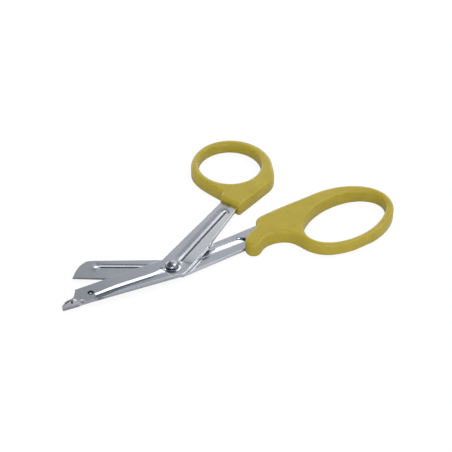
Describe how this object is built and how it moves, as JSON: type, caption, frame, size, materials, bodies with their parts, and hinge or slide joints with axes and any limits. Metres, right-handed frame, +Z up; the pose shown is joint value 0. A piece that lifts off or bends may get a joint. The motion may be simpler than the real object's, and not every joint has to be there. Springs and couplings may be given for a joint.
{
  "type": "bandage scissors",
  "caption": "Angled bandage scissors with a blunt turned-up probe foot, a round-nosed blade and moulded ring handles, half open on a rivet.",
  "frame": {"origin": "on the pivot axis, on the flat of the rivet's lower head, at the level of the surface the scissors lie on", "axes": "+Z up along the pivot axis, +X from the blade tips to the ring handles, +Y to the side of the thumb ring"},
  "size_m": [0.172, 0.1452, 0.0084],
  "materials": {
    "blade_steel": "satin polished stainless steel",
    "handle_plastic": "moulded olive yellow plastic with a soft sheen",
    "rivet_steel": "polished"
  },
  "bodies": {
    "finger_half": {"plain_blade": "blade_steel", "finger_handle": "handle_plastic", "pivot_rivet": "rivet_steel"},
    "thumb_half": {"probe_blade": "blade_steel", "thumb_handle": "handle_plastic"}
  },
  "joints": [
    {"name": "pivot", "type": "hinge", "parent": "finger_half", "child": "thumb_half", "pos_m": [0, 0, 0], "axis": [0, 0, 1], "range_deg": [-13, 60]}
  ]
}
